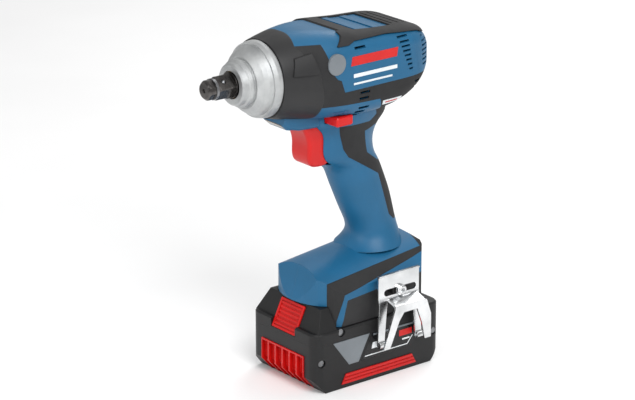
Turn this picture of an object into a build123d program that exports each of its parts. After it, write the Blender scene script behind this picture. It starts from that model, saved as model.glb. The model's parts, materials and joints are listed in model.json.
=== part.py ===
"""Cordless impact wrench with a half inch square drive, modelled as separate pieces.

Frame: +X towards the square drive, +Y to the tool's left, +Z up.
The origin is the centre of the battery's flat foot. Sizes are in millimetres.
"""
from math import acos, cos, pi, radians, sin, sqrt, tan
import os

from build123d import *

os.makedirs("parts", exist_ok=True)

# ---------------------------------------------------------------- driving dimensions
DRIVE_Z = 232.0            # height of the drive axis above the floor
DRIVE_SQUARE = 12.7        # half inch square, across flats
TIP_X = 126.3              # front end of the square drive
SKIN = 1.5                 # thickness of the rubber overmould
WALL = 3.2                 # housing wall, rubber included
SLACK = 0.3                # gap between pieces that slide past each other
BORE_SLACK = 0.05          # radial clearance of a running fit

BATTERY_LENGTH = 118.0
BATTERY_WIDTH = 75.0
BATTERY_SEAM_Z = 36.8      # joint between the battery's two cases
DECK_Z = 45.7              # top of the battery's deck, just under the foot
TONGUE_TOP_Z = 60.0
TONGUE_HALF_WIDTH = 24.0

GEAR_MODULE = 0.9
SUN_TEETH = 9
PLANET_TEETH = 18
RING_TEETH = SUN_TEETH + 2 * PLANET_TEETH
PLANET_COUNT = 3
PRESSURE_ANGLE = radians(25)
CARRIER_RADIUS = GEAR_MODULE * (SUN_TEETH + PLANET_TEETH) / 2

# Head sections: x, half width, top and bottom from the drive axis, corner radius
HEAD_SECTIONS = [
    (78.4, 27.9, 27.9, -27.9, 25.6),
    (70.0, 29.8, 29.8, -29.8, 27.2),
    (59.0, 31.6, 31.6, -31.6, 28.0),
    (42.0, 33.2, 31.2, -32.8, 23.0),
    (15.0, 33.6, 27.6, -33.4, 14.0),
    (-15.0, 33.2, 25.0, -32.0, 12.0),
    (-34.0, 32.2, 24.0, -27.0, 12.0),
    (-47.0, 28.5, 20.5, -20.0, 11.0),
    (-56.5, 21.0, 13.0, -12.0, 9.0),
]

# Handle sections: height, front x, rear x, half width
HANDLE_SECTIONS = [
    (206.0, 46.0, -36.0, 28.0),
    (196.0, 41.5, -31.0, 23.5),
    (186.0, 38.5, -26.0, 19.5),
    (173.0, 38.0, -20.5, 17.6),
    (165.0, 36.0, -21.2, 17.2),
    (160.5, 30.0, -22.6, 17.0),
    (156.5, 22.5, -24.8, 16.8),
    (152.0, 18.2, -27.0, 16.8),
    (146.0, 15.5, -29.5, 16.8),
    (132.0, 9.5, -35.0, 16.8),
    (117.0, 2.5, -39.0, 17.0),
    (105.0, -3.0, -41.8, 18.0),
    (98.0, -3.0, -43.5, 20.5),
    (90.0, 5.0, -46.0, 25.0),
]

FOOT_SLOPE = 6.4           # degrees the foot's top falls towards the front
FOOT_EDGE_Z = 82.8         # height of the foot's shoulder edge at x = 0
FOOT_CROWN = 9.0           # rise of the foot's top above its shoulder edges
FOOT_HALF_WIDTH = 35.0
FOOT_BOTTOM_Z = 46.0


# ---------------------------------------------------------------- helpers
def side_prism(points, half_width=60.0, y_centre=0.0):
    """A block cut out of the side view: points are (x, z), the block runs along Y."""
    with BuildPart() as block:
        with BuildSketch(Plane.XZ.offset(-y_centre)):
            with BuildLine():
                Polyline(*points, close=True)
            make_face()
        extrude(amount=half_width, both=True)
    return block.part


def drive_line(points):
    """The same outline with heights measured from the drive axis."""
    return [(x, DRIVE_Z + z) for x, z in points]


def turned(points):
    """A solid turned about the drive axis from (x, radius) points."""
    with BuildPart() as body:
        with BuildSketch(Plane.XZ.offset(0)):
            with BuildLine():
                Polyline(*[(x, DRIVE_Z + r) for x, r in points], close=True)
            make_face()
        revolve(axis=Axis((0, 0, DRIVE_Z), (1, 0, 0)))
    return body.part


def drive_disc(x_rear, x_front, radius, y=0.0, z=0.0):
    """A round bar along X, centred y and z away from the drive axis."""
    with BuildPart() as disc:
        with BuildSketch(Plane.YZ.offset(x_rear)):
            with Locations((y, DRIVE_Z + z)):
                Circle(radius)
        extrude(amount=x_front - x_rear)
    return disc.part


def side_bar(x, z, radius, y_from, y_to):
    """A round bar along Y."""
    with BuildPart() as bar:
        with BuildSketch(Plane.XZ.offset(-y_from)):
            with Locations((x, z)):
                Circle(radius)
        extrude(amount=-(y_to - y_from))
    return bar.part


def block(x_range, y_range, z_range):
    """A plain block between two corners."""
    with BuildPart() as solid:
        with BuildSketch(Plane.XY.offset(z_range[0])):
            with Locations(((x_range[0] + x_range[1]) / 2, (y_range[0] + y_range[1]) / 2)):
                Rectangle(x_range[1] - x_range[0], y_range[1] - y_range[0])
        extrude(amount=z_range[1] - z_range[0])
    return solid.part


def save(builder, name):
    """Label one finished piece and write its STEP file."""
    builder.part.label = name
    export_step(builder.part, f"parts/{name}.step")


# ---------------------------------------------------------------- the outer form
def head_form(inset):
    with BuildPart() as form:
        for index, (x, half_width, top, bottom, corner) in enumerate(HEAD_SECTIONS):
            if index == 0:
                x = x + (1.0 if inset else 0.0)
            if index == len(HEAD_SECTIONS) - 1:
                x = x + inset
            with BuildSketch(Plane.YZ.offset(x)):
                with Locations((0, DRIVE_Z + (top + bottom) / 2)):
                    RectangleRounded(2 * (half_width - inset), top - bottom - 2 * inset, corner - inset)
        loft()
    return form.part


def handle_form(inset):
    with BuildPart() as form:
        for z, front, rear, half_width in HANDLE_SECTIONS:
            with BuildSketch(Plane.XY.offset(z)):
                with Locations(((front + rear) / 2, 0)):
                    Ellipse((front - rear) / 2 - inset, half_width - inset)
        loft()
    return form.part


CHIN_HALF_WIDTH = 13.0
CHIN_ROUNDING = 4.0


def chin_form(inset):
    """The nose of the housing under the front cover, above the trigger."""
    outline = drive_line([(67, -24), (67, -34.5), (62.5, -38.5), (53, -41), (34, -42), (20, -24)])
    with BuildPart() as form:
        with BuildSketch(Plane.XZ):
            with BuildLine():
                Polyline(*outline, close=True)
            make_face()
            if inset:
                offset(amount=-inset, kind=Kind.INTERSECTION)
        extrude(amount=CHIN_HALF_WIDTH - inset, both=True)
        long_edges = form.edges().filter_by(lambda e: e.center().Z < DRIVE_Z - 30 and abs(e.center().Y) > 5)
        fillet(long_edges, CHIN_ROUNDING - inset)
    return form.part


def foot_form(inset):
    """The broad base of the handle that sits over the battery."""
    slope = Plane(
        origin=(0, 0, FOOT_EDGE_Z),
        x_dir=(0, 1, 0),
        z_dir=(cos(radians(FOOT_SLOPE)), 0, -sin(radians(FOOT_SLOPE))),
    )
    shoulder = FOOT_HALF_WIDTH - 7
    side = FOOT_HALF_WIDTH
    with BuildPart() as form:
        with BuildSketch(slope):
            with BuildLine():
                Polyline((-shoulder, 0), (-side, -8.5), (-side, -60), (side, -60), (side, -8.5), (shoulder, 0))
                ThreePointArc((shoulder, 0), (0, FOOT_CROWN), (-shoulder, 0))
            make_face()
            if inset:
                offset(amount=-inset, kind=Kind.INTERSECTION)
        extrude(amount=90, both=True)
        with BuildSketch(Plane.XY) as plan:
            with BuildLine():
                ThreePointArc((45, -23), (51.5, 0), (45, 23))
                Polyline((45, 23), (37.5, 31), (31, side), (-42, side), (-49, 27))
                ThreePointArc((-49, 27), (-53, 0), (-49, -27))
                Polyline((-49, -27), (-42, -side), (31, -side), (37.5, -31), (45, -23))
            make_face()
            if inset:
                offset(amount=-inset, kind=Kind.INTERSECTION)
        extrude(plan.sketch, amount=140, mode=Mode.INTERSECT)
        split(bisect_by=Plane.XY.offset(FOOT_BOTTOM_Z), keep=Keep.TOP)
        front_face = [(51.5 - inset, 62), (44 - inset, 86), (44 - inset, 130), (70, 130), (70, 62)]
        rear_bevel = [(-40 + inset, 101), (-56 + inset, 85), (-70, 85), (-70, 130), (-40 + inset, 130)]
        hump_notch = [(70, 61.5), (40, 61.5), (36.5, 40), (70, 40)]
        for outline in (front_face, rear_bevel, hump_notch):
            add(side_prism(outline), mode=Mode.SUBTRACT)
    return form.part


def body_form(inset):
    """Everything the housing covers, shrunk by an inset."""
    with BuildPart() as form:
        add(head_form(inset))
        add(handle_form(inset))
        add(foot_form(inset))
        add(chin_form(inset))
    return form.part


outer_form = body_form(0)
seat_form = body_form(SKIN)
cavity_form = body_form(WALL)


# ---------------------------------------------------------------- where the colours divide
COVER_REAR = drive_line([(57, 40), (63.8, 25), (50, 5), (47.1, -10.7), (46.6, -20.2), (46.6, -45)])
CASE_RADIUS = 27.0         # room for the aluminium hammer case under the cover
GEARBOX_RADIUS = 24.2      # room for its narrower rear end, round the gears
case_envelope = turned([
    (-8.05, 0), (-8.05, GEARBOX_RADIUS), (24, GEARBOX_RADIUS), (30, 26.0), (40, CASE_RADIUS),
    (90, CASE_RADIUS), (90, 0),
])

cover_region = side_prism(drive_line([(78.3, -45), (78.3, 40)]) + COVER_REAR)

grip_outline = drive_line([
    (63.8, 25), (45.3, 24.2), (42.6, 13.7), (39.9, 3.8), (35.5, -1.3), (32.3, -2.6), (29.2, -11.6),
    (-80, -10.8), (-80, -60), (-13, -47.5), (-2, -49.5), (-6.5, -67), (-19, -76), (-40, -80),
    (-60, -118), (-40, -124), (-32, -123), (-26.5, -118), (-17, -85), (12.5, -66.5), (17, -60),
    (22, -42), (-4.5, -42), (-10, -37.5), (-3, -22.1), (47, -20.7), (47.1, -10.7), (50, 5),
])
grip_region = side_prism(grip_outline)

REAR_SEAM = drive_line([(-33.4, 21.4), (-34.6, 17.4), (-40.6, -5.8), (-41.6, -10.85)])
REAR_COVER_TOP = drive_line([(-40, 20.5), (-49.5, 17.3), (-49.5, 30), (-80, 30), (-80, -10.9)])
rear_cover_region = side_prism(REAR_COVER_TOP + list(reversed(REAR_SEAM)))

# The rubber frame on top: two long stripes, the cross band and the rear bumper between them
STRIPE_FROM_Y = 20.5
RUBBER_STANDS = 1.2        # how far the frame and the bumper stand above the housing
stripe_outline = drive_line([
    (27.5, 23.6), (-10, 23.4), (-33.4, 21.4), (-40, 20.5), (-49.5, 17.3), (-49.5, 40), (27.5, 40),
])
with BuildPart() as top_frame_region:
    for side in (-1, 1):
        add(side_prism(stripe_outline, 13.5, side * (STRIPE_FROM_Y + 13.5)))
    add(side_prism(drive_line([(34, 21.5), (25, 21.5), (11.9, 26), (11.9, 40), (23.2, 40), (23.6, 30.5)])))
bumper_region = side_prism(
    drive_line([(-22.5, 20), (-22.5, 40), (-49.5, 40), (-49.5, 17.3), (-40, 20)]), STRIPE_FROM_Y - 0.05
)

# The bumper round the foot: its bevelled shoulders and its rear end
shoulder_outline = [
    (60, 100), (-60, 100), (-60, 88.5), (-36.4, 82.9), (30.1, 69.7), (35.5, 50), (35.5, 45), (60, 45),
]
with BuildPart() as foot_bumper_region:
    add(side_prism(shoulder_outline))
    add(block((-50, 70), (-27.6, 27.6), (30, 120)), mode=Mode.SUBTRACT)
    add(side_prism([(-46.5, 62), (-46.5, 96), (-60, 96), (-60, 62)]))

with BuildPart() as chin_lens_region:
    add(block((63, 90), (-9.3, 9.3), (DRIVE_Z - 38.8, DRIVE_Z - 33.8)))
    add(block((60.9, 63.2), (-2.8, 2.8), (DRIVE_Z - 37.6, DRIVE_Z - 33)))
socket_region = side_prism([(27.3, 65.2), (-2.5, 68), (-60, 73), (-60, 40), (34, 40)])

# ---------------------------------------------------------------- air vents
VENT_COUNT = 8
VENT_PITCH = 3.5
VENT_HEIGHT = 1.5
VENT_TOP = DRIVE_Z + 19.9
# Slots below the vents, on both sides: rear end, front end, middle height from the drive axis
LOW_SLOTS = [
    (6.2, 15.3, -14.6), (7.4, 16.1, -18.8), (6.5, 15.6, -26.0), (8.8, 17.1, -29.4), (10.6, 18.6, -32.6),
    (-42.6, -36.4, -15.9), (-41.5, -35.7, -20.7),
]
LOW_SLOT_HEIGHT = 1.8

with BuildPart() as side_vents:
    for number in range(VENT_COUNT):
        top = VENT_TOP - number * VENT_PITCH
        front = -19.4 - number * 1.55
        rear = -29.4 - number * 0.67
        add(block((rear, front), (-50, 50), (top - VENT_HEIGHT, top)))
    add(block((10.3, 20.1), (-50, 50), (DRIVE_Z + 17.5, DRIVE_Z + 19.4)))

with BuildPart() as rear_vents:
    for number in range(VENT_COUNT):
        top = VENT_TOP - number * VENT_PITCH
        for y_sign in (-1, 1):
            y_range = (y_sign * 30 - 12, y_sign * 30 + 12)
            add(block((-53, -43.0 - number * 0.4), y_range, (top - VENT_HEIGHT, top)))

with BuildPart() as low_vents:
    for x_rear, x_front, z in LOW_SLOTS:
        z_range = (DRIVE_Z + z - LOW_SLOT_HEIGHT / 2, DRIVE_Z + z + LOW_SLOT_HEIGHT / 2)
        add(block((x_rear, x_front), (-50, 50), z_range))

# ---------------------------------------------------------------- rubber overmoulds
with BuildPart() as overmould_skin:
    add(outer_form)
    add(seat_form, mode=Mode.SUBTRACT)

with BuildPart() as grip_rubber:
    add(overmould_skin.part)
    add(grip_region, mode=Mode.INTERSECT)
    add(block((30, 80), (-16, 16), (DRIVE_Z - 60, DRIVE_Z - 15)), mode=Mode.SUBTRACT)
    add(low_vents.part, mode=Mode.SUBTRACT)


LEFT_OF_MIDDLE = Plane(origin=(0, 0, 0), x_dir=(1, 0, 0), z_dir=(0, 1, 0))
HALVES = (("left", Keep.TOP, 1), ("right", Keep.BOTTOM, -1))

for side_name, keep, _ in HALVES:
    with BuildPart() as half_grip:
        add(grip_rubber.part)
        split(bisect_by=LEFT_OF_MIDDLE, keep=keep)
    save(half_grip, f"{side_name}_grip_overmould")

with BuildPart() as raised_skin:
    add(head_form(-RUBBER_STANDS))
    add(seat_form, mode=Mode.SUBTRACT)

with BuildPart() as top_frame:
    add(raised_skin.part)
    add(top_frame_region.part, mode=Mode.INTERSECT)
    add(cover_region, mode=Mode.SUBTRACT)
    add(bumper_region, mode=Mode.SUBTRACT)
    add(rear_cover_region, mode=Mode.SUBTRACT)
save(top_frame, "top_rubber_frame")

RIB_PITCH = 6.0
with BuildPart() as rear_bumper_seat:
    add(raised_skin.part)
    add(bumper_region, mode=Mode.INTERSECT)

with BuildPart() as rear_bumper:
    add(rear_bumper_seat.part)
    add(rear_cover_region, mode=Mode.SUBTRACT)
    for number in range(4):
        x = -26.5 - number * RIB_PITCH
        floor = DRIVE_Z + 24.4 - number * 0.9
        add(block((x, x + 1.4), (-18, 18), (floor, DRIVE_Z + 40)), mode=Mode.SUBTRACT)
save(rear_bumper, "rear_bumper")


with BuildPart() as foot_bumper:
    add(overmould_skin.part)
    add(foot_bumper_region.part, mode=Mode.INTERSECT)
save(foot_bumper, "foot_bumper")

# ---------------------------------------------------------------- front cover over the hammer case
with BuildPart() as front_cover:
    add(head_form(0))
    add(cover_region, mode=Mode.INTERSECT)
    add(drive_disc(20, 90, CASE_RADIUS), mode=Mode.SUBTRACT)
save(front_cover, "front_cover")

PAD_OUTLINE = [(68.5, 18.2), (55.2, 20.2), (51.3, 5.8), (72.0, 6.8)]
with BuildPart() as cover_pads:
    add(head_form(-1.6))
    add(side_prism(drive_line(PAD_OUTLINE)), mode=Mode.INTERSECT)
    add(head_form(0), mode=Mode.SUBTRACT)
save(cover_pads, "cover_pads")

# ---------------------------------------------------------------- openings in the housing
TRIGGER_HALF_WIDTH = 11.0
TRIGGER_TRAVEL = 6.0
TRIGGER_OUTLINE = [
    (26, 193), (50.0, 193), (45.3, 186), (43.2, 178), (43.3, 170.5), (42.3, 165), (38.5, 161.3), (30, 161),
    (26, 163.5),
]
LEVER_X = (17.9, 32.6)
LEVER_Z = (194.0, 201.0)
LEVER_HALF_LENGTH = 29.0
LEVER_TRAVEL = 3.0
BOSS_RADIUS = 4.3
SCREW_RADIUS = 1.5
RECESS_RADIUS = 3.3        # counterbores for the screw heads, on the right side only
BOSS_PLACES = [(-21, 199), (5, 146), (-17, 113), (37, 71), (-42, 80)]
HOOK_SCREW_X = -15.7
HOOK_SCREW_Z = 65.9
HOOK_SCREW_RADIUS = 2.0
HOOK_BOSS_Y = 40.6
HOOK_BOSS_RADIUS = 5.6

with BuildPart() as housing_openings:
    y_range = (-TRIGGER_HALF_WIDTH - 0.4, TRIGGER_HALF_WIDTH + 0.4)
    add(block((10, 60), y_range, (160.5, 193.5)))
    add(block((LEVER_X[0] - SLACK, LEVER_X[1] + SLACK), (-50, 50), (LEVER_Z[0] - SLACK, LEVER_Z[1] + SLACK)))
    add(side_bar(HOOK_SCREW_X, HOOK_SCREW_Z, HOOK_BOSS_RADIUS, -60, 60))
    add(side_vents.part)
    add(low_vents.part)
    add(chin_lens_region.part)
    add(socket_region)

with BuildPart() as screw_bosses:
    for x, z in BOSS_PLACES:
        add(side_bar(x, z, BOSS_RADIUS, 0, 60))
    add(seat_form, mode=Mode.INTERSECT)

with BuildPart() as cover_space:
    add(head_form(0))
    add(cover_region, mode=Mode.INTERSECT)

# One half is cut out of the form, and the other is its mirror image with screw recesses
with BuildPart() as half_shell:
    add(outer_form)
    split(bisect_by=LEFT_OF_MIDDLE, keep=Keep.TOP)
    hollows = [
        cavity_form,
        block((-49.5, 36), (-24.7, 24.7), (40, 66)),
        cover_space.part,
        case_envelope,
        grip_rubber.part,
        top_frame.part,
        rear_bumper_seat.part,
        foot_bumper.part,
    ]
    for hollow in hollows:
        add(hollow, clean=False, mode=Mode.SUBTRACT)
    add(housing_openings.part, clean=False, mode=Mode.SUBTRACT)

with BuildPart() as boss_holes:
    for x, z in BOSS_PLACES:
        add(side_bar(x, z, SCREW_RADIUS, -1, 10))

with BuildPart() as screw_recesses:
    for x, z in BOSS_PLACES:
        add(side_bar(x, z, SCREW_RADIUS, -20, 1))
        add(side_bar(x, z, RECESS_RADIUS, -60, -9))

with BuildPart() as left_body:
    add(half_shell.part)
    add(rear_cover_region, clean=False, mode=Mode.SUBTRACT)
    add(screw_bosses.part, clean=False)
    add(boss_holes.part, clean=False, mode=Mode.SUBTRACT)

with BuildPart() as left_housing:
    add(left_body.solids().sort_by(SortBy.VOLUME)[-1])
save(left_housing, "left_housing")

with BuildPart() as right_housing:
    add(mirror(left_housing.part, about=Plane.XZ, mode=Mode.PRIVATE))
    add(screw_recesses.part, clean=False, mode=Mode.SUBTRACT)
save(right_housing, "right_housing")

with BuildPart() as rear_cover:
    add(half_shell.part)
    add(rear_cover_region, clean=False, mode=Mode.INTERSECT)
    add(rear_vents.part, clean=False, mode=Mode.SUBTRACT)
    mirror(about=Plane.XZ)
    add(drive_disc(-55, -46.8, 10.5))
    add(drive_disc(-53, -46, 8.0), mode=Mode.SUBTRACT)
save(rear_cover, "rear_cover")

# ---------------------------------------------------------------- hammer case and anvil
with BuildPart() as hammer_case:
    outer_points = [
        (-3, GEARBOX_RADIUS - 0.05), (24, GEARBOX_RADIUS - 0.05), (30, 25.95), (40, CASE_RADIUS - 0.05),
        (78.9, CASE_RADIUS - 0.05), (78.9, 27.6), (82, 27.4), (85.2, 26.6), (85.2, 25.2), (88, 24.3),
        (91, 22.4), (94.6, 18.6), (94.6, 16.9), (96.2, 16.9), (96.2, 17.3), (98.6, 16.9), (99.4, 15.6),
        (102.6, 14.9), (103.7, 13.8),
    ]
    inner_points = [
        (103.7, 9.9), (101, 9.9), (101, 11.6), (80, 11.6), (80, 18), (77.5, 25.0), (36, 25.0), (28, 24.3),
        (26, 22.45), (-3, 22.45),
    ]
    add(turned(outer_points + inner_points))
save(hammer_case, "hammer_case")

JOURNAL_RADIUS = 9.15
with BuildPart() as nose_bush:
    add(drive_disc(80.1, 100.9, 11.6))
    add(drive_disc(80, 101, JOURNAL_RADIUS + BORE_SLACK), mode=Mode.SUBTRACT)
save(nose_bush, "nose_bush")

SQUARE_TURN = 51.0         # direction of the face with the detent, from +Y towards +Z
CORNER_RADIUS = 8.3
GROOVE_X = 118.4
TIP_RADIUS = 7.1
PILOT_RADIUS = 4.0
HAMMER_RADIUS = 23.6
DETENT_X = 112.6
DETENT_RADIUS = 1.5
DETENT_TRAVEL = 0.6
detent_direction = Vector(0, cos(radians(SQUARE_TURN)), sin(radians(SQUARE_TURN)))
detent_plane = Plane(
    origin=Vector(DETENT_X, 0, DRIVE_Z) + detent_direction * (DRIVE_SQUARE / 2),
    x_dir=(1, 0, 0),
    z_dir=detent_direction,
)

with BuildPart() as anvil:
    with BuildSketch(Plane.YZ.offset(104.5)):
        with Locations((0, DRIVE_Z)):
            Rectangle(DRIVE_SQUARE, DRIVE_SQUARE, rotation=SQUARE_TURN)
    extrude(amount=TIP_X - 104.5)
    add(turned([(104, 0), (104, 9.4), (106.2, 9.4), (109.5, CORNER_RADIUS), (GROOVE_X - 0.8, CORNER_RADIUS),
                (GROOVE_X, 7.6), (GROOVE_X, 6.0), (GROOVE_X + 2.2, 6.0), (GROOVE_X + 2.2, TIP_RADIUS),
                (TIP_X - 1.6, TIP_RADIUS), (TIP_X, 5.6), (TIP_X, 0)]), mode=Mode.INTERSECT)
    add(drive_disc(78, 104.6, JOURNAL_RADIUS))
    add(drive_disc(65.5, 78.5, 11.0))
    add(block((66, 76), (-7, 7), (DRIVE_Z - 22, DRIVE_Z + 22)))
    add(drive_disc(60, 72.5, PILOT_RADIUS + BORE_SLACK), mode=Mode.SUBTRACT)
    with BuildSketch(detent_plane.offset(0.6)):
        Circle(DETENT_RADIUS + SLACK)
    extrude(amount=-3.6, mode=Mode.SUBTRACT)
    with BuildSketch(Plane.YZ.offset(TIP_X - 0.8)):
        with Locations((0, DRIVE_Z)):
            Circle(1.6)
    extrude(amount=2, mode=Mode.SUBTRACT)
save(anvil, "anvil")

with BuildPart() as friction_ring:
    add(drive_disc(GROOVE_X + 0.1, GROOVE_X + 2.1, 7.6))
    add(drive_disc(GROOVE_X, GROOVE_X + 3, 6.02), mode=Mode.SUBTRACT)
    add(block((GROOVE_X, GROOVE_X + 3), (-1.2, 1.2), (DRIVE_Z - 10, DRIVE_Z)), mode=Mode.SUBTRACT)
save(friction_ring, "friction_ring")

with BuildPart() as detent_ball:
    with Locations(detent_plane.origin - detent_direction * (DETENT_RADIUS - 0.8)):
        Sphere(DETENT_RADIUS)
save(detent_ball, "socket_detent_ball")

# ---------------------------------------------------------------- impact mechanism
HAMMER_TRAVEL = 9.0
CAM_SHAFT_RADIUS = 6.0
CAM_BALL_RADIUS = 2.5
CAM_BALL_X = 58.0
SPRING_RADIUS = 13.4
SPRING_WIRE = 1.6

with BuildPart() as hammer:
    add(drive_disc(38, 64, HAMMER_RADIUS))
    add(drive_disc(37, 53.5, 17.5), mode=Mode.SUBTRACT)
    add(drive_disc(50, 66, CAM_SHAFT_RADIUS + BORE_SLACK), mode=Mode.SUBTRACT)
    for y_sign in (-1, 1):
        add(drive_disc(50, 66, CAM_BALL_RADIUS + SLACK, y=y_sign * CAM_SHAFT_RADIUS), mode=Mode.SUBTRACT)
    with BuildPart(mode=Mode.PRIVATE) as jaws:
        add(drive_disc(63.9, 74.5, HAMMER_RADIUS))
        add(drive_disc(63, 76, 12.0), mode=Mode.SUBTRACT)
        add(block((60, 80), (-30, 30), (DRIVE_Z - 9, DRIVE_Z + 9)), mode=Mode.INTERSECT)
    add(jaws.part)
save(hammer, "hammer")

with BuildPart() as cam_shaft:
    add(drive_disc(9.4, 14, 18))
    add(drive_disc(13.9, 64.4, CAM_SHAFT_RADIUS))
    add(drive_disc(64.3, 72, PILOT_RADIUS))
    with Locations(*[(CAM_BALL_X, s * CAM_SHAFT_RADIUS, DRIVE_Z) for s in (-1, 1)]):
        Sphere(CAM_BALL_RADIUS, mode=Mode.SUBTRACT)
    for number in range(PLANET_COUNT):
        angle = 2 * pi * number / PLANET_COUNT
        y, z = CARRIER_RADIUS * cos(angle), CARRIER_RADIUS * sin(angle)
        add(drive_disc(9, 15, 2.2, y, z), mode=Mode.SUBTRACT)
save(cam_shaft, "cam_shaft")

with BuildPart() as cam_balls:
    with Locations(*[(CAM_BALL_X, s * CAM_SHAFT_RADIUS, DRIVE_Z) for s in (-1, 1)]):
        Sphere(CAM_BALL_RADIUS)
save(cam_balls, "cam_balls")


def coil(start, direction, length, radius, wire, turns):
    """A wire coil along a direction, with its end turns left open."""
    with BuildPart() as spring:
        with BuildLine() as path:
            Helix(pitch=(length - 2 * wire) / turns, height=length - 2 * wire, radius=radius,
                  center=start + direction * wire, direction=direction)
        with BuildSketch(Plane(origin=path.line @ 0, z_dir=path.line % 0)):
            Circle(wire)
        sweep(is_frenet=True)
    return spring.part


with BuildPart() as hammer_spring:
    add(coil(Vector(14.2, 0, DRIVE_Z), Vector(1, 0, 0), 39.0, SPRING_RADIUS, SPRING_WIRE, 5))
save(hammer_spring, "hammer_spring")

with BuildPart() as planet_pins:
    for number in range(PLANET_COUNT):
        angle = 2 * pi * number / PLANET_COUNT
        add(drive_disc(-0.6, 14, 2.2, CARRIER_RADIUS * cos(angle), CARRIER_RADIUS * sin(angle)))
save(planet_pins, "planet_pins")


# ---------------------------------------------------------------- planetary gears
def involute(base_radius, radius):
    """The polar angle swept by the tooth flank at a radius."""
    pressure = acos(min(1.0, base_radius / radius))
    return tan(pressure) - pressure


def gear_face(teeth, addendum, dedendum, thinning, turn, centre=(0.0, 0.0)):
    """Outline of a spur gear; turn (degrees) is the direction of one tooth's middle."""
    pitch_radius = GEAR_MODULE * teeth / 2
    base_radius = pitch_radius * cos(PRESSURE_ANGLE)
    tip_radius = pitch_radius + addendum
    root_radius = pitch_radius - dedendum
    half_tooth = pi / (2 * teeth) - thinning / pitch_radius + involute(base_radius, pitch_radius)
    start_radius = max(base_radius, root_radius)
    radii = [start_radius + (tip_radius - start_radius) * step / 3 for step in range(4)]
    flank = [(r, half_tooth - involute(base_radius, r)) for r in radii]
    if root_radius < start_radius:
        flank.insert(0, (root_radius, half_tooth - involute(base_radius, start_radius)))
    points = []
    for tooth in range(teeth):
        middle = radians(turn) + 2 * pi * tooth / teeth
        for r, spread in flank:
            points.append((r, middle - spread))
        for r, spread in reversed(flank):
            points.append((r, middle + spread))
    corners = [(centre[0] + r * cos(a), centre[1] + DRIVE_Z + r * sin(a)) for r, a in points]
    with BuildSketch(Plane.YZ, mode=Mode.PRIVATE) as outline:
        with BuildLine():
            Polyline(*corners, close=True)
        make_face()
    return outline.sketch


ADDENDUM = 0.8 * GEAR_MODULE
DEDENDUM = 1.0 * GEAR_MODULE
BACKLASH = 0.08            # thinning of each tooth flank

with BuildPart() as ring_gear:
    add(drive_disc(-0.6, 9.2, 22.4))
    ring_space = gear_face(RING_TEETH, DEDENDUM, ADDENDUM, -BACKLASH, 180 / RING_TEETH)
    extrude(ring_space, amount=14, both=True, mode=Mode.SUBTRACT)
save(ring_gear, "ring_gear")

for number in range(PLANET_COUNT):
    direction = 360 * number / PLANET_COUNT
    y = CARRIER_RADIUS * cos(radians(direction))
    z = CARRIER_RADIUS * sin(radians(direction))
    with BuildPart() as planet_gear:
        tooth_turn = direction + 180 / PLANET_TEETH
        extrude(gear_face(PLANET_TEETH, ADDENDUM, DEDENDUM, BACKLASH, tooth_turn, (y, z)), amount=9)
        add(drive_disc(-1, 10, 2.2 + BORE_SLACK, y, z), mode=Mode.SUBTRACT)
    save(planet_gear, f"planet_gear_{number + 1}")

# ---------------------------------------------------------------- motor
STATOR_REAR = -36.0
STATOR_FRONT = -12.0
STATOR_RADIUS = 20.0
ROTOR_RADIUS = 12.0
SHAFT_RADIUS = 2.5
SLOT_COUNT = 6
SLOT_CENTRE_RADIUS = 15.9

with BuildPart() as rotor:
    add(drive_disc(STATOR_REAR, STATOR_FRONT, ROTOR_RADIUS))
    add(drive_disc(-52.8, 0, SHAFT_RADIUS))
    extrude(gear_face(SUN_TEETH, ADDENDUM, DEDENDUM, BACKLASH, 0), amount=8.8)
save(rotor, "rotor")

with BuildPart() as stator_core:
    add(drive_disc(STATOR_REAR, STATOR_FRONT, STATOR_RADIUS))
    add(drive_disc(STATOR_REAR - 1, STATOR_FRONT + 1, ROTOR_RADIUS + 0.5), mode=Mode.SUBTRACT)
    with BuildSketch(Plane.YZ.offset(STATOR_REAR - 1)):
        with Locations((0, DRIVE_Z)):
            with PolarLocations(SLOT_CENTRE_RADIUS, SLOT_COUNT):
                Rectangle(5.6, 9)
    extrude(amount=STATOR_FRONT - STATOR_REAR + 2, mode=Mode.SUBTRACT)
save(stator_core, "stator_core")

with BuildPart() as stator_coils:
    with BuildSketch(Plane.YZ.offset(STATOR_REAR - 1.6)):
        with Locations((0, DRIVE_Z)):
            with PolarLocations(SLOT_CENTRE_RADIUS, SLOT_COUNT):
                RectangleRounded(5.0, 8.2, 1.2)
    extrude(amount=STATOR_FRONT - STATOR_REAR + 3.2)
save(stator_coils, "stator_coils")

FAN_BLADES = 11
with BuildPart() as cooling_fan:
    add(drive_disc(-39.6, -38.6, 16.5))
    add(drive_disc(-45, -39, 5))
    with BuildSketch(Plane.YZ.offset(-44.6)):
        with Locations((0, DRIVE_Z)):
            with PolarLocations(10.5, FAN_BLADES):
                Rectangle(12, 1.2, rotation=24)
    extrude(amount=5.2)
    add(drive_disc(-46, -38, SHAFT_RADIUS), mode=Mode.SUBTRACT)
save(cooling_fan, "cooling_fan")


def ball_bearing(x_rear, x_front, inner, outer):
    """A sealed bearing shown as its inner and outer rings joined by the shields."""
    with BuildPart() as bearing:
        add(drive_disc(x_rear, x_front, outer))
        with BuildPart(mode=Mode.PRIVATE) as recess:
            add(drive_disc(x_rear - 1, x_rear + 0.4, outer - 1.6))
            add(drive_disc(x_front - 0.4, x_front + 1, outer - 1.6))
            add(drive_disc(x_rear - 2, x_front + 2, inner + 1.5), mode=Mode.SUBTRACT)
        add(recess.part, mode=Mode.SUBTRACT)
        add(drive_disc(x_rear - 1, x_front + 1, inner), mode=Mode.SUBTRACT)
    return bearing.part


with BuildPart() as rear_bearing:
    add(ball_bearing(-52.5, -47.5, SHAFT_RADIUS + BORE_SLACK, 8.0))
save(rear_bearing, "rear_bearing")

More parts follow.
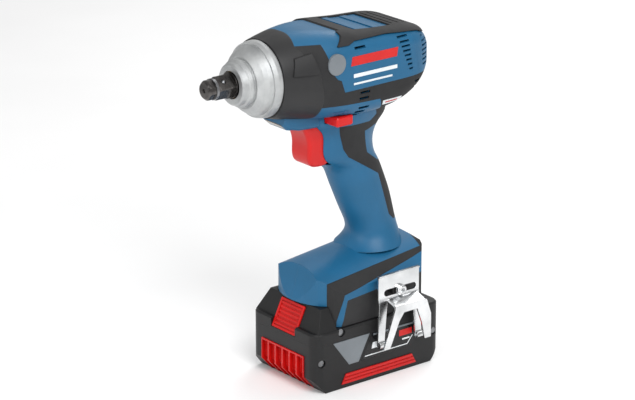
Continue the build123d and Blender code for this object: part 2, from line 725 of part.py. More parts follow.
with BuildPart() as front_bearing:
    add(ball_bearing(-7.5, -2.5, SHAFT_RADIUS + BORE_SLACK, 8.0))
save(front_bearing, "front_bearing")

with BuildPart() as gearbox_plate:
    add(drive_disc(-8, -1, GEARBOX_RADIUS - 0.05))
    add(drive_disc(-3.05, 0, 30), mode=Mode.SUBTRACT)
    add(drive_disc(-3.1, -1, 22.4))
    add(drive_disc(-7.5, 0, 8.0), mode=Mode.SUBTRACT)
    add(drive_disc(-9, 0, 5.0), mode=Mode.SUBTRACT)
save(gearbox_plate, "gearbox_plate")

# ---------------------------------------------------------------- trigger, lever, switch and electronics
with BuildPart() as trigger:
    with BuildSketch(Plane.XZ):
        with BuildLine():
            Polyline(*TRIGGER_OUTLINE[:2])
            Spline(*TRIGGER_OUTLINE[1:7])
            Polyline(*TRIGGER_OUTLINE[6:], TRIGGER_OUTLINE[0])
        make_face()
    extrude(amount=TRIGGER_HALF_WIDTH, both=True)
    front_edges = trigger.edges().filter_by(lambda e: e.center().X > 37 and abs(e.center().Y) > 10 and e.length > 15)
    fillet(front_edges, 3.2)
    add(block((13, 27), (-4, 4), (171, 179)))
save(trigger, "trigger")

with BuildPart() as trigger_spring:
    add(coil(Vector(7.8, 0, 175), Vector(1, 0, 0), 17.8, 7.0, 0.5, 6))
save(trigger_spring, "trigger_spring")

with BuildPart() as switch_body:
    add(block((-9, 7.5), (-8.5, 8.5), (163, 187)))
    add(block((4.5, 9), (-4.4, 4.4), (170.5, 179.5)), mode=Mode.SUBTRACT)
    chamfer(switch_body.edges().filter_by(Axis.Y).group_by(Axis.Z)[0], 1.0)
save(switch_body, "switch_body")

with BuildPart() as direction_lever:
    with BuildSketch(Plane.XZ):
        with BuildLine():
            Polyline((LEVER_X[0], LEVER_Z[0] + 0.8), (LEVER_X[0], LEVER_Z[1] - 0.4), (LEVER_X[0] + 1, LEVER_Z[1]),
                     (LEVER_X[1] - 1, LEVER_Z[1]), (LEVER_X[1], LEVER_Z[1] - 1), (LEVER_X[1], LEVER_Z[0] + 1),
                     (LEVER_X[1] - 1, LEVER_Z[0]), (LEVER_X[0] + 1.5, LEVER_Z[0]), close=True)
        make_face()
    extrude(amount=LEVER_HALF_LENGTH, both=True)
    chamfer(direction_lever.faces().sort_by(Axis.Y)[-1].edges(), 0.8)
    chamfer(direction_lever.faces().sort_by(Axis.Y)[0].edges(), 0.8)
save(direction_lever, "direction_lever")

with BuildPart() as led_lens:
    add(chin_form(0))
    add(block((63.3, 90), (-9, 9), (DRIVE_Z - 38.5, DRIVE_Z - 34.1)), mode=Mode.INTERSECT)
save(led_lens, "led_lens")

with BuildPart() as led:
    add(block((61.2, 63.0), (-2.5, 2.5), (DRIVE_Z - 37.3, DRIVE_Z - 34.3)))
save(led, "work_light_led")

with BuildPart() as control_board:
    add(block((-34, 26), (-22, 22), (76.0, 77.6)))
    add(block((-26, -8), (-16, 16), (77.5, 82)))
    add(block((4, 16), (-12, 12), (77.5, 81)))
save(control_board, "control_board")

# ---------------------------------------------------------------- the foot's socket for the battery
RAIL_Z = (50.0, 53.0)
with BuildPart() as battery_socket:
    add(foot_form(0))
    add(socket_region, mode=Mode.INTERSECT)
    add(block((-48.5, 60), (-24.5, 24.5), (40, 61)), mode=Mode.SUBTRACT)
    with BuildPart(mode=Mode.PRIVATE) as hollow:
        add(block((-44, 24), (-24, 24), (66, 90)))
    add(hollow.part, mode=Mode.SUBTRACT)
    add(foot_bumper.part, mode=Mode.SUBTRACT)
    for y_sign in (-1, 1):
        add(block((-48, 26), tuple(sorted((y_sign * 22.2, y_sign * 24.6))), RAIL_Z))
        boss_ends = sorted((y_sign * 30, y_sign * HOOK_BOSS_Y))
        add(side_bar(HOOK_SCREW_X, HOOK_SCREW_Z, HOOK_BOSS_RADIUS, *boss_ends))
        hole_ends = sorted((y_sign * 29, y_sign * 50))
        add(side_bar(HOOK_SCREW_X, HOOK_SCREW_Z, HOOK_SCREW_RADIUS, *hole_ends), mode=Mode.SUBTRACT)
save(battery_socket, "battery_socket")

with BuildPart() as terminal_block:
    add(block((-48.4, -38), (-17, 17), (50, 61)))
save(terminal_block, "terminal_block")

BLADE_PLACES = (-13.0, -4.5, 4.5, 13.0)
with BuildPart() as terminal_blades:
    for y in BLADE_PLACES:
        add(block((-38, -26), (y - 0.5, y + 0.5), (52, 58)))
save(terminal_blades, "terminal_blades")

# ---------------------------------------------------------------- battery pack
BATTERY_CORNER = 8.0
CASE_WALL = 2.4


def battery_plan(inset=0.0):
    with BuildSketch(mode=Mode.PRIVATE) as plan:
        RectangleRounded(BATTERY_LENGTH - 2 * inset, BATTERY_WIDTH - 2 * inset, BATTERY_CORNER - inset)
    return plan.sketch


def battery_end_prism(inset=0.0):
    """The side view of the lower case, with its ends cut away below."""
    half = BATTERY_LENGTH / 2 - inset
    low = inset
    return side_prism([(half - 9.5, low), (half, low + 11), (half, 60), (-half, 60), (-half, low + 11),
                       (-half + 9.5, low)])


def grille_outline(depth, grow=0.0):
    """Side view of the front grille, wrapped round the case's lower front corner."""
    half = BATTERY_LENGTH / 2
    return [(half + 0.8, 27 + grow), (half + 0.8, 10.9), (half - 8.4, 0.6), (half - 11 - grow, 0.6),
            (half - 9 - grow, 0.6 + depth), (half - depth, 11.6), (half - depth, 27 + grow)]


# Screws that hold the battery's cases: x, z, and how far in from the side their heads sit
CASE_SCREW_PLACES = [(34.6, 43.0), (52.5, 23.2), (-52.5, 23.2)]
SCREW_HEAD_RADIUS = 2.6
SCREW_RECESS = 1.4


def case_screw_bars(radius, near, far):
    """Round bars at every case screw, between two depths from the battery's side."""
    with BuildPart() as bars:
        for x, z in CASE_SCREW_PLACES:
            for y_sign in (-1, 1):
                ends = sorted(y_sign * (BATTERY_WIDTH / 2 - depth) for depth in (near, far))
                add(side_bar(x, z, radius, *ends))
    return bars.part


with BuildPart() as case_screw_holes:
    add(case_screw_bars(SCREW_HEAD_RADIUS + 0.4, -5, SCREW_RECESS + 1.4))
    add(case_screw_bars(1.2, 0, 9))

GRILLE_HALF_WIDTH = 24.5
GRILLE_DEPTH = 3.4
STRIP_OUTLINE = [(35, 3.2), (31, 10.6), (-31, 10.6), (-35, 3.2)]
LABEL_OUTLINE = [(44, 38.2), (28, 17), (19, 17), (8, 38.2)]
PANEL_OUTLINE = [(7, 36), (16.5, 17), (-28, 17), (-34, 24), (-34, 36)]
LABEL_DEPTH = 0.5

with BuildPart() as lower_case:
    extrude(battery_plan(), amount=BATTERY_SEAM_Z)
    add(battery_end_prism(), mode=Mode.INTERSECT)
    with BuildPart(mode=Mode.PRIVATE) as lower_space:
        extrude(battery_plan(CASE_WALL), amount=60)
        add(battery_end_prism(CASE_WALL), mode=Mode.INTERSECT)
    with BuildPart(mode=Mode.PRIVATE) as grille_pocket:
        add(side_prism(grille_outline(GRILLE_DEPTH), GRILLE_HALF_WIDTH))
    with BuildPart(mode=Mode.PRIVATE) as grille_backing:
        add(side_prism(grille_outline(GRILLE_DEPTH + 2, 1.5), GRILLE_HALF_WIDTH + 2))
    add(lower_space.part, mode=Mode.SUBTRACT)
    with BuildPart(mode=Mode.PRIVATE) as solid_front:
        extrude(battery_plan(), amount=BATTERY_SEAM_Z)
        add(battery_end_prism(), mode=Mode.INTERSECT)
        add(grille_backing.part, mode=Mode.INTERSECT)
    add(solid_front.part)
    add(grille_pocket.part, mode=Mode.SUBTRACT)
    for y_sign in (-1, 1):
        y_outer = y_sign * BATTERY_WIDTH / 2
        for outline, depth in ((STRIP_OUTLINE, 1.0), (LABEL_OUTLINE, LABEL_DEPTH), (PANEL_OUTLINE, LABEL_DEPTH)):
            with BuildSketch(Plane.XZ.offset(-y_outer)):
                with BuildLine():
                    Polyline(*outline, close=True)
                make_face()
            extrude(amount=y_sign * depth, mode=Mode.SUBTRACT)
    add(case_screw_holes.part, mode=Mode.SUBTRACT)
save(lower_case, "battery_lower_case")

HUMP_FRONT_LOW = (59.0, 37.0)
HUMP_FRONT_HIGH = (47.5, 61.2)
HUMP_SIDE = [(37.2, 40), (40.4, 61.2), HUMP_FRONT_HIGH, HUMP_FRONT_LOW, (59.0, 30), (37.2, 30)]
face_length = sqrt((HUMP_FRONT_LOW[0] - HUMP_FRONT_HIGH[0]) ** 2 + (HUMP_FRONT_HIGH[1] - HUMP_FRONT_LOW[1]) ** 2)
button_plane = Plane(
    origin=((HUMP_FRONT_LOW[0] + HUMP_FRONT_HIGH[0]) / 2, 0, (HUMP_FRONT_LOW[1] + HUMP_FRONT_HIGH[1]) / 2 - 0.2),
    x_dir=(0, 1, 0),
    z_dir=((HUMP_FRONT_HIGH[1] - HUMP_FRONT_LOW[1]) / face_length, 0,
           (HUMP_FRONT_LOW[0] - HUMP_FRONT_HIGH[0]) / face_length),
)
BUTTON_WIDTH = 27.0
BUTTON_HEIGHT = 22.5
BUTTON_POCKET_DEPTH = 8.2
BUTTON_DEPTH = 4.4
BUTTON_PROUD = 0.9

with BuildPart() as upper_case:
    extrude(battery_plan(), amount=DECK_Z)
    chamfer(upper_case.faces().sort_by(Axis.Z)[-1].edges(), 1.2)
    add(block((-80, 80), (-60, 60), (-1, BATTERY_SEAM_Z)), mode=Mode.SUBTRACT)
    with BuildPart(mode=Mode.PRIVATE) as hump:
        add(side_prism(HUMP_SIDE))
        with BuildPart(mode=Mode.PRIVATE) as hump_front_view:
            with BuildSketch(Plane.YZ.offset(30)):
                with BuildLine():
                    Polyline((-37.5, 36.8), (-37.2, 43), (-29, 61.2), (29, 61.2), (37.2, 43), (37.5, 36.8),
                             close=True)
                make_face()
            extrude(amount=40)
        add(hump_front_view.part, mode=Mode.INTERSECT)
        with BuildPart(mode=Mode.PRIVATE) as plan_column:
            extrude(battery_plan(), amount=80)
        add(plan_column.part, mode=Mode.INTERSECT)
        add(block((30, 70), (-40, 40), (BATTERY_SEAM_Z, 70)), mode=Mode.INTERSECT)
    add(hump.part)
    add(block((-35.5, 38), (-TONGUE_HALF_WIDTH, TONGUE_HALF_WIDTH), (DECK_Z - 1, TONGUE_TOP_Z)))
    for y_sign in (-1, 1):
        groove = tuple(sorted((y_sign * (TONGUE_HALF_WIDTH - 2.2), y_sign * 30)))
        add(block((-40, 37), groove, (RAIL_Z[0] - SLACK, RAIL_Z[1] + SLACK)), mode=Mode.SUBTRACT)
    with BuildPart(mode=Mode.PRIVATE) as cell_space:
        extrude(battery_plan(CASE_WALL), amount=DECK_Z - 2.4)
        add(block((-60, 60), (-40, 40), (0, BATTERY_SEAM_Z - 1)), mode=Mode.SUBTRACT)
    add(cell_space.part, mode=Mode.SUBTRACT)
    add(block((-33, 34), (-20, 20), (40, TONGUE_TOP_Z - 2.4)), mode=Mode.SUBTRACT)
    for y in BLADE_PLACES:
        add(block((-40, -20), (y - 1.2, y + 1.2), (50.5, 70)), mode=Mode.SUBTRACT)
    with BuildSketch(button_plane.offset(4)):
        Rectangle(BUTTON_WIDTH + 2 * SLACK, BUTTON_HEIGHT + 2 * SLACK)
    extrude(amount=-(4 + BUTTON_POCKET_DEPTH), mode=Mode.SUBTRACT)
    add(case_screw_holes.part, mode=Mode.SUBTRACT)
save(upper_case, "battery_upper_case")

RIB_COUNT = 6
with BuildPart() as release_button:
    with BuildSketch(button_plane.offset(BUTTON_PROUD - BUTTON_DEPTH)):
        RectangleRounded(BUTTON_WIDTH, BUTTON_HEIGHT, 1.0)
    extrude(amount=BUTTON_DEPTH)
    with BuildSketch(button_plane.offset(BUTTON_PROUD)):
        Rectangle(BUTTON_WIDTH - 3.6, BUTTON_HEIGHT - 3.6)
    extrude(amount=-1.0, mode=Mode.SUBTRACT)
    with BuildSketch(button_plane.offset(BUTTON_PROUD - 1.0)):
        with GridLocations(0, (BUTTON_HEIGHT - 3.6) / RIB_COUNT, 1, RIB_COUNT):
            Rectangle(BUTTON_WIDTH - 4.4, 1.5)
    extrude(amount=0.9)
save(release_button, "release_button")

with BuildPart() as button_spring:
    start = button_plane.origin - button_plane.z_dir * (BUTTON_POCKET_DEPTH - 0.2)
    add(coil(start, button_plane.z_dir, BUTTON_POCKET_DEPTH - 0.2 - (BUTTON_DEPTH - BUTTON_PROUD) - 0.2, 3.0, 0.35, 4))
save(button_spring, "button_spring")

with BuildPart() as battery_grille:
    add(side_prism(grille_outline(GRILLE_DEPTH), GRILLE_HALF_WIDTH))
    slot_pitch = 2 * GRILLE_HALF_WIDTH / 6
    for number in range(6):
        y = -GRILLE_HALF_WIDTH + slot_pitch * (number + 0.5)
        slot_outline = [(62, 25.6), (62, -2), (47.6, -2), (47.6, 1.8), (50.5, 4.4), (56.6, 12.4), (56.6, 25.6)]
        add(side_prism(slot_outline, slot_pitch / 2 - 0.9, y), mode=Mode.SUBTRACT)
save(battery_grille, "battery_grille")

with BuildPart() as side_strips:
    for y_sign in (-1, 1):
        y_seat = y_sign * (BATTERY_WIDTH / 2 - 1.0)
        with BuildSketch(Plane.XZ.offset(-y_seat)):
            with BuildLine():
                Polyline(*STRIP_OUTLINE, close=True)
            make_face()
        extrude(amount=-y_sign * 1.8)
        for z in (5.6, 8.2):
            y_range = tuple(sorted((y_sign * (BATTERY_WIDTH / 2 + 0.2), y_sign * 42)))
            add(block((-40, 40), y_range, (z - 0.4, z + 0.4)), mode=Mode.SUBTRACT)
save(side_strips, "battery_side_strips")


def plates(outline, name):
    """A thin plate in its recess on each side of the battery."""
    with BuildPart() as pair:
        for y_sign in (-1, 1):
            with BuildSketch(Plane.XZ.offset(-y_sign * (BATTERY_WIDTH / 2 - LABEL_DEPTH))):
                with BuildLine():
                    Polyline(*outline, close=True)
                make_face()
            extrude(amount=-y_sign * (LABEL_DEPTH + 0.1))
        add(block((-80, 80), (-60, 60), (BATTERY_SEAM_Z - 0.4, 60)), mode=Mode.SUBTRACT)
    save(pair, name)


plates(LABEL_OUTLINE, "blank_badge_plates")
plates(PANEL_OUTLINE, "blank_label_plates")

CELL_RADIUS = 9.1
CELL_LENGTH = 65.0
CELL_PITCH_X = 19.6
CELL_ROWS_Z = (12.2, 31.6)
with BuildPart() as battery_cells:
    for row_z in CELL_ROWS_Z:
        for number in range(5):
            x = (number - 2) * CELL_PITCH_X
            add(side_bar(x, row_z, CELL_RADIUS, -CELL_LENGTH / 2, CELL_LENGTH / 2))
save(battery_cells, "battery_cells")

with BuildPart() as battery_contacts:
    for y in BLADE_PLACES:
        for y_sign in (-1, 1):
            add(block((-32, -21), tuple(sorted((y + y_sign * 0.55, y + y_sign * 1.1))), (46, 57)))
save(battery_contacts, "battery_contacts")

with BuildPart() as battery_screws:
    add(case_screw_bars(SCREW_HEAD_RADIUS, SCREW_RECESS, SCREW_RECESS + 1.4))
    add(case_screw_bars(1.2, SCREW_RECESS + 1.2, 8.8))
save(battery_screws, "battery_screws")

# ---------------------------------------------------------------- belt hook
SHEET = 1.5
PLATE_Y = HOOK_BOSS_Y
FORK_Y = 50.4
PLATE_X = (-33.5, 4.5)
FORK_OUTLINE = [
    (-4, 57.2), (-33, 57.2), (-37.2, 45), (-37.2, 27), (-31.4, 27), (-28.6, 40), (-24, 52), (-11.5, 52),
    (-7, 46), (1.4, 27), (7.2, 27),
]
INNER_LEGS = (((3.5, 60), (-4, 60), (-1.2, 27), (4.6, 27)), ((-27, 60), (-33.5, 60), (-36.8, 27), (-31, 27)))
with BuildPart() as belt_hook:
    with BuildSketch(Plane.YZ.offset(PLATE_X[0])):
        with BuildLine():
            Polyline((PLATE_Y, 80), (PLATE_Y, 60.5), (FORK_Y, 56.8), (FORK_Y, 55.5), (FORK_Y + SHEET, 55.5),
                     (FORK_Y + SHEET, 57.9), (PLATE_Y + SHEET, 61.6), (PLATE_Y + SHEET, 78.6),
                     (PLATE_Y + SHEET + 0.9, 79), (PLATE_Y + SHEET + 0.9, 80), close=True)
        make_face()
    extrude(amount=PLATE_X[1] - PLATE_X[0])
    with BuildSketch(Plane.XZ.offset(-PLATE_Y)):
        with Locations((HOOK_SCREW_X, HOOK_SCREW_Z)):
            SlotOverall(30, 5)
    extrude(amount=-5, mode=Mode.SUBTRACT)
    add(block((PLATE_X[0] - 1, -31), (FORK_Y - 8, FORK_Y + 4), (54, 62)), mode=Mode.SUBTRACT)
    add(block((-3.5, PLATE_X[1] + 1), (FORK_Y - 8, FORK_Y + 4), (54, 62)), mode=Mode.SUBTRACT)
    with BuildSketch(Plane.XZ.offset(-FORK_Y)):
        with BuildLine():
            Polyline(*FORK_OUTLINE, close=True)
        make_face()
    extrude(amount=-SHEET)
    for leg in INNER_LEGS:
        with BuildSketch(Plane.XZ.offset(-PLATE_Y)):
            with BuildLine():
                Polyline(*leg, close=True)
            make_face()
        extrude(amount=-SHEET)
        foot_x = sorted((leg[2][0], leg[3][0]))
        with BuildSketch(Plane.YZ.offset(foot_x[0])):
            with Locations((PLATE_Y + 2.2, 27)):
                Circle(2.2)
        extrude(amount=foot_x[1] - foot_x[0])
save(belt_hook, "belt_hook")

with BuildPart() as hook_washer:
    add(side_bar(HOOK_SCREW_X, HOOK_SCREW_Z, 4.2, PLATE_Y + SHEET, PLATE_Y + SHEET + 0.8))
    add(side_bar(HOOK_SCREW_X, HOOK_SCREW_Z, HOOK_SCREW_RADIUS, 35, 50), mode=Mode.SUBTRACT)
save(hook_washer, "hook_washer")

head_seat_y = PLATE_Y + SHEET + 0.8
with BuildPart() as hook_screw:
    add(side_bar(HOOK_SCREW_X, HOOK_SCREW_Z, HOOK_SCREW_RADIUS, 30, head_seat_y))
    add(side_bar(HOOK_SCREW_X, HOOK_SCREW_Z, 4.0, head_seat_y, head_seat_y + 2.6))
    fillet(hook_screw.faces().sort_by(Axis.Y)[-1].edges(), 1.5)
    with BuildSketch(Plane.XZ.offset(-(head_seat_y + 3))):
        with Locations((HOOK_SCREW_X, HOOK_SCREW_Z)):
            RegularPolygon(1.9, 6)
    extrude(amount=2.4, mode=Mode.SUBTRACT)
save(hook_screw, "hook_screw")

with BuildPart() as housing_screws:
    for x, z in BOSS_PLACES:
        add(side_bar(x, z, SCREW_RADIUS, -10, 9.5))
        add(side_bar(x, z, 3.0, -11.5, -9))
        with BuildPart(mode=Mode.PRIVATE) as drive_recess:
            with BuildSketch(Plane.XZ.offset(12)):
                with Locations((x, z)):
                    RegularPolygon(1.4, 6)
            extrude(amount=-2)
        add(drive_recess.part, mode=Mode.SUBTRACT)
save(housing_screws, "housing_screws")

BADGE_PLACE = (36.5, DRIVE_Z + 9.8)
BADGE_RADIUS = 7.6
with BuildPart() as side_badges:
    for y_sign in (-1, 1):
        y_range = sorted((y_sign * 31.5, y_sign * 34.1))
        add(side_bar(*BADGE_PLACE, BADGE_RADIUS, *y_range))
    add(outer_form, mode=Mode.SUBTRACT)
save(side_badges, "blank_side_badges")
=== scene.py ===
"""Looks of the cordless impact wrench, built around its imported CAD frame."""
import json
import math

import bpy
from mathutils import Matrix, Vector
from mathutils.bvhtree import BVHTree


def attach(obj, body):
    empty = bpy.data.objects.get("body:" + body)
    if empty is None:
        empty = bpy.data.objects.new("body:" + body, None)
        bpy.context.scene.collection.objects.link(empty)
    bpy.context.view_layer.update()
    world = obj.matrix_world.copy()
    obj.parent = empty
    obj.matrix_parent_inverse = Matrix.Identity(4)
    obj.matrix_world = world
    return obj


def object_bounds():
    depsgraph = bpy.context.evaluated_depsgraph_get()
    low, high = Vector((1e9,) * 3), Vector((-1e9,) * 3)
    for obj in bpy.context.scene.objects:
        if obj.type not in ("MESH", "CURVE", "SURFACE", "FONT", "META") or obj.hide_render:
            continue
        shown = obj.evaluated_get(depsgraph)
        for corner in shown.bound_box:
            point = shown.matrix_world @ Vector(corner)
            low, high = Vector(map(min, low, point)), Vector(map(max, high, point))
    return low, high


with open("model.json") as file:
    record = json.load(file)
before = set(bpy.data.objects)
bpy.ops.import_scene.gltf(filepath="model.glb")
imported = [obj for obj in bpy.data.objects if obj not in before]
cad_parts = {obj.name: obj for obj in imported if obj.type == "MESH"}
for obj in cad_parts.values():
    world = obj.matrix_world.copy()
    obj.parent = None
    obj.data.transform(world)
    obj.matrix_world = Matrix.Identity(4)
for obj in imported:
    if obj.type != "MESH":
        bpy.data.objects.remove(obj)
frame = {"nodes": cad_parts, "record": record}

NODES = frame["nodes"]
CAD_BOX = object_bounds()
MM = 0.001
DRIVE_HEIGHT = 232.0     # of the drive axis above the floor, in millimetres


# ---------------------------------------------------------------- materials
def linear(hex_colour):
    """An sRGB colour such as '3b7ca5' as linear RGBA."""
    channels = [int(hex_colour[i:i + 2], 16) / 255 for i in (0, 2, 4)]
    return [c / 12.92 if c <= 0.04045 else ((c + 0.055) / 1.055) ** 2.4 for c in channels] + [1.0]


class Material:
    """A Principled material whose colour, roughness and bump come from procedural noise."""

    def __init__(self, name, metallic=0.0, ior=1.5, coat=0.0, transmission=0.0):
        self.material = bpy.data.materials.new(name)
        self.material.use_nodes = True
        self.tree = self.material.node_tree
        self.shader = self.tree.nodes["Principled BSDF"]
        self.shader.inputs["Metallic"].default_value = metallic
        self.shader.inputs["IOR"].default_value = ior
        self.shader.inputs["Coat Weight"].default_value = coat
        self.shader.inputs["Coat Roughness"].default_value = 0.1
        self.shader.inputs["Transmission Weight"].default_value = transmission
        self.coordinates = self.node("ShaderNodeTexCoord").outputs["Object"]
        self.height = None

    def node(self, kind, **settings):
        node = self.tree.nodes.new(kind)
        for key, value in settings.items():
            setattr(node, key, value)
        return node

    def link(self, output, socket):
        self.tree.links.new(output, socket)

    def stretched(self, scale):
        """Object coordinates multiplied axis by axis."""
        mapping = self.node("ShaderNodeMapping")
        mapping.inputs["Scale"].default_value = scale
        self.link(self.coordinates, mapping.inputs["Vector"])
        return mapping.outputs["Vector"]

    def noise(self, scale, detail=3.0, roughness=0.55, stretch=None):
        node = self.node("ShaderNodeTexNoise")
        node.inputs["Scale"].default_value = scale
        node.inputs["Detail"].default_value = detail
        node.inputs["Roughness"].default_value = roughness
        self.link(self.stretched(stretch) if stretch else self.coordinates, node.inputs["Vector"])
        return node.outputs["Fac"]

    def cells(self, scale, stretch=None):
        node = self.node("ShaderNodeTexVoronoi", feature="F1")
        node.inputs["Scale"].default_value = scale
        self.link(self.stretched(stretch) if stretch else self.coordinates, node.inputs["Vector"])
        return node.outputs["Distance"]

    def ramp(self, value, stops):
        node = self.node("ShaderNodeValToRGB")
        elements = node.color_ramp.elements
        while len(elements) < len(stops):
            elements.new(0.5)
        for element, (position, colour) in zip(elements, stops):
            element.position = position
            element.color = colour
        self.link(value, node.inputs["Fac"])
        return node.outputs["Color"]

    def colour(self, value, low, high, low_at=0.35, high_at=0.65):
        """Base colour that wanders between two close tones."""
        self.link(self.ramp(value, [(low_at, low), (high_at, high)]), self.shader.inputs["Base Color"])

    def roughness(self, value, low, high):
        node = self.node("ShaderNodeMapRange")
        node.inputs["To Min"].default_value = low
        node.inputs["To Max"].default_value = high
        self.link(value, node.inputs["Value"])
        self.link(node.outputs["Result"], self.shader.inputs["Roughness"])

    def bump(self, value, depth, strength=1.0):
        """Adds one layer of bump, depth in metres."""
        node = self.node("ShaderNodeBump")
        node.inputs["Strength"].default_value = strength
        node.inputs["Distance"].default_value = depth
        self.link(value, node.inputs["Height"])
        if self.height is not None:
            self.link(self.height, node.inputs["Normal"])
        self.height = node.outputs["Normal"]
        self.link(self.height, self.shader.inputs["Normal"])

    def soft_edges(self, radius):
        """Rounds sharp edges in the shading, as moulded and cast pieces have them."""
        node = self.node("ShaderNodeBevel", samples=4)
        node.inputs["Radius"].default_value = radius
        self.height = node.outputs["Normal"]
        self.link(self.height, self.shader.inputs["Normal"])


def moulded_plastic(name, tone, shade, rough=(0.38, 0.5), grain=900.0, depth=0.00004, edge=0.0005):
    """Plastic with a fine moulded grain; edge is the radius of its softened corners."""
    m = Material(name, ior=1.43)
    m.soft_edges(edge)
    m.colour(m.noise(38, 4), linear(shade), linear(tone))
    m.roughness(m.noise(60, 3), *rough)
    m.bump(m.noise(grain, 2, 0.6), depth)
    return m.material


def smooth_print(name, tone, shade, rough, grain=500, edge=0.0002):
    """Ink and label film, nearly without grain."""
    return moulded_plastic(name, tone, shade, rough, grain, 0.00001, edge)


def soft_rubber(name, tone, shade):
    """Matt rubber with a pebbled skin."""
    m = Material(name, ior=1.45)
    m.soft_edges(0.0006)
    m.colour(m.noise(55, 5), linear(shade), linear(tone))
    m.roughness(m.noise(90, 4), 0.62, 0.82)
    m.bump(m.cells(1500), 0.00005, 0.7)
    m.bump(m.noise(420, 3), 0.00004)
    return m.material


def cast_aluminium(name):
    """Blasted aluminium of the hammer case."""
    m = Material(name, metallic=0.9)
    m.soft_edges(0.0006)
    m.colour(m.noise(70, 4), linear("a9abac"), linear("bfc1c1"))
    m.roughness(m.noise(160, 4), 0.46, 0.58)
    m.bump(m.noise(1300, 3), 0.000035)
    return m.material


def turned_steel(name, tone, shade, rough=(0.2, 0.34), stretch=(60, 1, 1), depth=0.00002):
    """Machined steel with its fine tool marks running round the drive axis."""
    m = Material(name, metallic=1.0)
    m.soft_edges(0.0003)
    m.colour(m.noise(90, 4), linear(shade), linear(tone))
    m.roughness(m.noise(120, 3, stretch=stretch), *rough)
    m.bump(m.noise(160, 3, stretch=stretch), depth)
    return m.material


def zinc_sheet(name):
    """Bright zinc plating on bent sheet."""
    m = Material(name, metallic=1.0)
    m.soft_edges(0.0004)
    m.colour(m.noise(45, 5), linear("c9cbcc"), linear("ecedee"))
    m.roughness(m.noise(60, 4, stretch=(1, 1, 4)), 0.13, 0.27)
    m.bump(m.noise(260, 4, stretch=(1, 1, 6)), 0.00003)
    return m.material


def clear_lens(name):
    """The work light's clear window."""
    m = Material(name, ior=1.49, transmission=0.55)
    m.colour(m.noise(80, 3), linear("8d8378"), linear("b5aca0"))
    m.roughness(m.noise(120, 3), 0.06, 0.14)
    m.bump(m.noise(300, 2, stretch=(1, 6, 1)), 0.00004)
    return m.material


def wound_copper(name):
    """Lacquered copper wire."""
    m = Material(name, metallic=0.85, coat=0.5)
    m.colour(m.noise(60, 3), linear("8d4722"), linear("c0703a"))
    m.roughness(m.noise(140, 3), 0.25, 0.4)
    m.bump(m.noise(900, 2, stretch=(1, 5, 5)), 0.00008)
    return m.material


def brass(name):
    """Yellow metal of the bush and the contacts."""
    m = Material(name, metallic=1.0)
    m.colour(m.noise(120, 4), linear("b08f4d"), linear("d3b56e"))
    m.roughness(m.noise(150, 3), 0.24, 0.38)
    m.bump(m.noise(700, 3), 0.00002)
    return m.material


MATERIALS = {
    "housing_plastic": moulded_plastic("housing_plastic", "155b82", "14577c", (0.4, 0.5)),
    "grip_rubber": soft_rubber("grip_rubber", "222223", "1d1d1e"),
    "cover_plastic": moulded_plastic("cover_plastic", "232324", "1f1f20", (0.44, 0.56), grain=1100),
    "battery_plastic": moulded_plastic("battery_plastic", "151516", "121213", (0.42, 0.54), grain=1200),
    "inner_plastic": moulded_plastic("inner_plastic", "1e1e20", "18181a", (0.5, 0.6)),
    "red_plastic": moulded_plastic("red_plastic", "c60d0a", "ba0b09", (0.32, 0.42), grain=800),
    "case_aluminium": cast_aluminium("case_aluminium"),
    "drive_steel": turned_steel("drive_steel", "6b6866", "454342", (0.2, 0.34)),
    "gear_steel": turned_steel("gear_steel", "a9abae", "8b8d90"),
    "screw_steel": turned_steel("screw_steel", "8e8f91", "6f7072", (0.25, 0.4)),
    "lamination_steel": turned_steel(
        "lamination_steel", "77797c", "5b5d60", (0.4, 0.55), stretch=(400, 1, 1), depth=0.00006
    ),
    "bush_bronze": brass("bush_bronze"),
    "contact_metal": brass("contact_metal"),
    "zinc_sheet": zinc_sheet("zinc_sheet"),
    "lens_clear": clear_lens("lens_clear"),
    "copper_coil": wound_copper("copper_coil"),
    "board_green": moulded_plastic("board_green", "1d6b35", "165428", (0.3, 0.4)),
    "cell_wrap": moulded_plastic("cell_wrap", "2f8f63", "277a55", (0.25, 0.35)),
    "badge_grey": smooth_print("badge_grey", "757b80", "6e7479", (0.3, 0.4), grain=600, edge=0.0005),
    "label_black": smooth_print("label_black", "121213", "0f0f10", (0.22, 0.32), grain=600, edge=0.0005),
}
PRINT_WHITE = smooth_print("print_white", "dfe3e5", "d3d8db", (0.4, 0.5))
PRINT_RED = smooth_print("print_red", "c81a18", "bb1614", (0.36, 0.46))
DEEP_BLUE = moulded_plastic("deep_blue", "16527a", "134b71", (0.42, 0.5), edge=0.0003)

for subpart in frame["record"]["subparts"]:
    node = NODES[subpart["node"]]
    node.data.materials.clear()
    node.data.materials.append(MATERIALS[subpart["material_slot"]])


# ---------------------------------------------------------------- thin pieces laid on the surface
def surface_tree(*names):
    """A ray-casting tree over some CAD nodes, in the row frame."""
    vertices, faces = [], []
    for name in names:
        node = NODES[name]
        start = len(vertices)
        vertices += [node.matrix_world @ vertex.co for vertex in node.data.vertices]
        faces += [[start + index for index in polygon.vertices] for polygon in node.data.polygons]
    return BVHTree.FromPolygons(vertices, faces)


RAY_START_SIDE = 0.2     # metres out from the middle plane
RAY_START_TOP = 0.4      # metres above the floor


def ray_from(side, a, b):
    """Start and direction of a ray onto one side of the tool; a and b are in millimetres."""
    if side == "top":
        return Vector((a * MM, b * MM, RAY_START_TOP)), Vector((0, 0, -1))
    y_sign = 1 if side == "left" else -1
    return Vector((a * MM, y_sign * RAY_START_SIDE, b * MM)), Vector((0, -y_sign, 0))


def between(start, end, t):
    """The point a share t of the way from start to end."""
    return tuple(low + (high - low) * t for low, high in zip(start, end))


